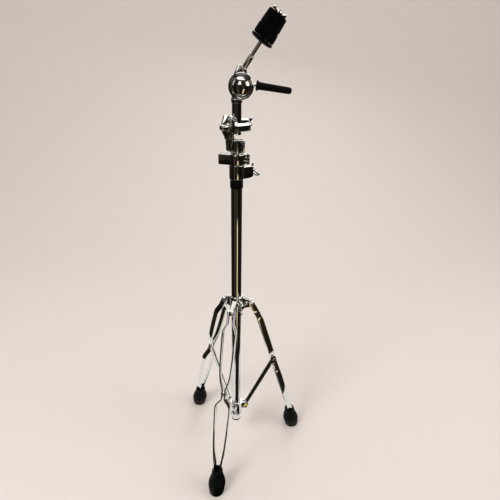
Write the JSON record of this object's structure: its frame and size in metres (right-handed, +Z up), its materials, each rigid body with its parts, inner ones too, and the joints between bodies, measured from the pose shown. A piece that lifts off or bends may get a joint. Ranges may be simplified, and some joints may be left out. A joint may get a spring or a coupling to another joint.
{
  "type": "cymbal boom stand",
  "caption": "Chrome double-braced tripod cymbal stand with a telescoping column, a ratchet boom tilter, a lever-clamped round cymbal tilter, felts and a wing nut",
  "frame": {"origin": "on the floor at the centre of the footprint's bounding box; the column axis stands 53.2 mm behind it, on +Y", "axes": "+Z up along the column, -Y toward the front leg, +X to the right seen from the front leg"},
  "size_m": [0.3896, 0.3434, 1.2239],
  "materials": {
    "chrome": "mirror chrome plating on steel tube and strip",
    "cast_chrome": "chrome plating over a zinc die casting, slightly soft",
    "steel": "bright plated steel fasteners",
    "zinc": "yellow zinc plating",
    "rubber": "moulded black rubber",
    "nylon": "moulded black nylon",
    "felt": "pressed black wool felt"
  },
  "bodies": {
    "base": {"base_tube": "chrome", "base_tube_end_cap": "rubber", "base_tube_bushing": "nylon", "height_clamp": "cast_chrome", "lower_collar": "cast_chrome", "strut_front_bolt": "steel", "strut_front_nut": "zinc", "strut_right_bolt": "steel", "strut_right_nut": "zinc", "strut_left_bolt": "steel", "strut_left_nut": "zinc"},
    "leg_collar": {"upper_leg_collar": "cast_chrome"},
    "leg_collar_bolt": {"collar_wing_bolt": "chrome"},
    "height_bolt": {"height_wing_bolt": "chrome"},
    "leg_front": {"leg_front_strip_a": "chrome", "leg_front_strip_b": "chrome", "leg_front_hinge_rivet": "steel", "leg_front_mid_rivet": "steel", "foot_front": "rubber"},
    "strut_front": {"strut_front": "chrome"},
    "leg_right": {"leg_right_strip_a": "chrome", "leg_right_strip_b": "chrome", "leg_right_hinge_rivet": "steel", "leg_right_mid_rivet": "steel", "foot_right": "rubber"},
    "strut_right": {"strut_right": "chrome"},
    "leg_left": {"leg_left_strip_a": "chrome", "leg_left_strip_b": "chrome", "leg_left_hinge_rivet": "steel", "leg_left_mid_rivet": "steel", "foot_left": "rubber"},
    "strut_left": {"strut_left": "chrome"},
    "upper_column": {"upper_tube": "chrome", "memory_lock_near": "cast_chrome", "memory_lock_pin": "steel", "boom_tilter_base": "cast_chrome"},
    "memory_lock_gate": {"memory_lock_far": "cast_chrome"},
    "memory_lock_bolt": {"memory_lock_key_bolt": "steel"},
    "tilter_key_bolt": {"tilter_base_key_bolt": "steel"},
    "boom_clamp": {"boom_clamp": "cast_chrome", "boom_pivot_stud": "steel"},
    "boom_wing_nut": {"boom_wing_nut": "chrome"},
    "boom_length_screw": {"boom_length_screw": "chrome"},
    "boom_arm": {"boom_tube": "chrome", "tilter_base": "cast_chrome", "tilter_bolt": "steel", "tilter_dome_cap": "chrome", "tilter_lock_nut": "steel"},
    "tilter_lever": {"tilter_lever_hub": "cast_chrome", "tilter_lever_grip": "rubber"},
    "cymbal_rod": {"rod_carrier": "cast_chrome", "cymbal_rod": "steel", "rod_ferrule": "chrome", "cymbal_seat_cup": "nylon", "cymbal_sleeve": "nylon", "felt_lower": "felt", "felt_upper": "felt"},
    "cymbal_wing_nut": {"cymbal_wing_nut": "chrome"}
  },
  "joints": [
    {"name": "leg_collar_slide", "type": "slide", "parent": "base", "child": "leg_collar", "axis": [0, 0, 1], "range_m": [-0.03, 0.016]},
    {"name": "leg_front_hinge", "type": "hinge", "parent": "leg_collar", "child": "leg_front", "pos_m": [0, 0.00666, 0.5302], "axis": [-1, 0, 0], "range_deg": [-4.55, 8.6]},
    {"name": "strut_front_hinge", "type": "hinge", "parent": "base", "child": "strut_front", "pos_m": [0, 0.01956, 0.1375], "axis": [-1, 0, 0], "range_deg": [-10.8, 5.8]},
    {"name": "leg_right_hinge", "type": "hinge", "parent": "leg_collar", "child": "leg_right", "pos_m": [0.03672, 0.07026, 0.5302], "axis": [0.5, -0.866, 0], "range_deg": [-4.55, 8.6]},
    {"name": "strut_right_hinge", "type": "hinge", "parent": "base", "child": "strut_right", "pos_m": [0.02555, 0.06381, 0.1375], "axis": [0.5, -0.866, 0], "range_deg": [-10.8, 5.8]},
    {"name": "leg_left_hinge", "type": "hinge", "parent": "leg_collar", "child": "leg_left", "pos_m": [-0.03672, 0.07026, 0.5302], "axis": [0.5, 0.866, 0], "range_deg": [-4.55, 8.6]},
    {"name": "strut_left_hinge", "type": "hinge", "parent": "base", "child": "strut_left", "pos_m": [-0.02555, 0.06381, 0.1375], "axis": [0.5, 0.866, 0], "range_deg": [-10.8, 5.8]},
    {"name": "height_slide", "type": "slide", "parent": "base", "child": "upper_column", "axis": [0, 0, 1], "range_m": [0, 0.4]},
    {"name": "leg_collar_bolt_turn", "type": "hinge", "parent": "leg_collar", "child": "leg_collar_bolt", "pos_m": [0.01968, 0.03058, 0.5415], "axis": [0.729, -0.6845, 0], "continuous": true},
    {"name": "height_bolt_turn", "type": "hinge", "parent": "base", "child": "height_bolt", "pos_m": [0.02454, 0.07937, 0.899], "axis": [0.6293, 0.7771, 0], "continuous": true},
    {"name": "memory_lock_open", "type": "hinge", "parent": "upper_column", "child": "memory_lock_gate", "pos_m": [0.0259, 0.05132, 0.9308], "axis": [0, 0, -1], "range_deg": [0, 70]},
    {"name": "memory_lock_bolt_turn", "type": "hinge", "parent": "memory_lock_gate", "child": "memory_lock_bolt", "pos_m": [-0.03093, 0.0584, 0.9308], "axis": [-0.0872, 0.9962, 0], "continuous": true},
    {"name": "tilter_key_bolt_turn", "type": "hinge", "parent": "upper_column", "child": "tilter_key_bolt", "pos_m": [0.01725, 0.04591, 0.967], "axis": [0.289, -0.9573, 0], "continuous": true},
    {"name": "boom_tilt", "type": "hinge", "parent": "upper_column", "child": "boom_clamp", "pos_m": [0, 0.04906, 1.001], "axis": [0.5948, 0.8039, 0], "range_deg": [-90, 90]},
    {"name": "boom_wing_nut_turn", "type": "hinge", "parent": "boom_clamp", "child": "boom_wing_nut", "pos_m": [-0.01665, 0.02655, 1.001], "axis": [-0.5948, -0.8039, 0], "continuous": true},
    {"name": "boom_length_screw_turn", "type": "hinge", "parent": "boom_clamp", "child": "boom_length_screw", "pos_m": [0.01784, 0.07317, 1.003], "axis": [0.5948, 0.8039, 0], "continuous": true},
    {"name": "boom_slide", "type": "slide", "parent": "boom_clamp", "child": "boom_arm", "axis": [0, 0, 1], "range_m": [0, 0.018]},
    {"name": "tilter_lever_turn", "type": "hinge", "parent": "boom_arm", "child": "tilter_lever", "pos_m": [0.00959, 0.05054, 1.0815], "axis": [0.153, -0.9882, 0], "range_deg": [-35, 20]},
    {"name": "cymbal_tilt", "type": "hinge", "parent": "boom_arm", "child": "cymbal_rod", "pos_m": [0.00959, 0.05054, 1.0815], "axis": [-0.153, 0.9882, 0], "range_deg": [-100, 20]},
    {"name": "cymbal_wing_nut_turn", "type": "hinge", "parent": "cymbal_rod", "child": "cymbal_wing_nut", "pos_m": [0.07551, 0.06388, 1.20536], "axis": [0.5668, 0.0877, 0.8192], "continuous": true}
  ],
  "couplings": [
    {"joint": "leg_front_hinge", "follows": "leg_collar_slide", "rad_per_m": -4.905},
    {"joint": "strut_front_hinge", "follows": "leg_collar_slide", "rad_per_m": 6.204},
    {"joint": "leg_right_hinge", "follows": "leg_collar_slide", "rad_per_m": -4.905},
    {"joint": "strut_right_hinge", "follows": "leg_collar_slide", "rad_per_m": 6.204},
    {"joint": "leg_left_hinge", "follows": "leg_collar_slide", "rad_per_m": -4.905},
    {"joint": "strut_left_hinge", "follows": "leg_collar_slide", "rad_per_m": 6.204}
  ]
}
